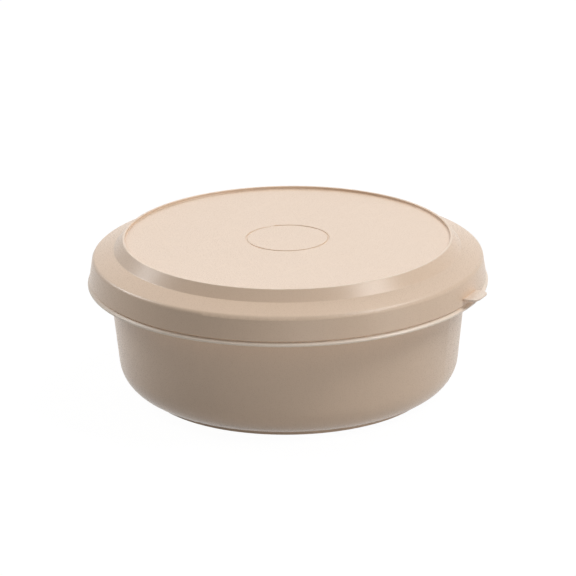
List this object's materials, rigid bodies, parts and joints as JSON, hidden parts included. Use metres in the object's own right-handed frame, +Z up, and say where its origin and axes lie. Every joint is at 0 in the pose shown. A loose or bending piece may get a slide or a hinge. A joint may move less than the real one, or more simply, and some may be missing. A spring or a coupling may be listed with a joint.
{
  "type": "tortilla warmer",
  "caption": "Round keeper for warm flat bread: a footed bowl with a flange round its rim, under a stepped lid with a recessed top and a pull tab.",
  "frame": {"origin": "centre of the foot ring, on the surface that the bowl stands on", "axes": "+Z up along the round body's axis, the way the lid lifts; +X towards the lid's pull tab"},
  "size_m": [0.2562, 0.2486, 0.0979],
  "materials": {
    "bowl_plastic": "satin moulded beige",
    "lid_plastic": "satin moulded beige"
  },
  "bodies": {
    "bowl": {"bowl": "bowl_plastic"},
    "lid": {"lid": "lid_plastic"}
  },
  "joints": [
    {"name": "lid_lift", "type": "slide", "parent": "bowl", "child": "lid", "axis": [0, 0, 1], "range_m": [0, 0.1]}
  ]
}
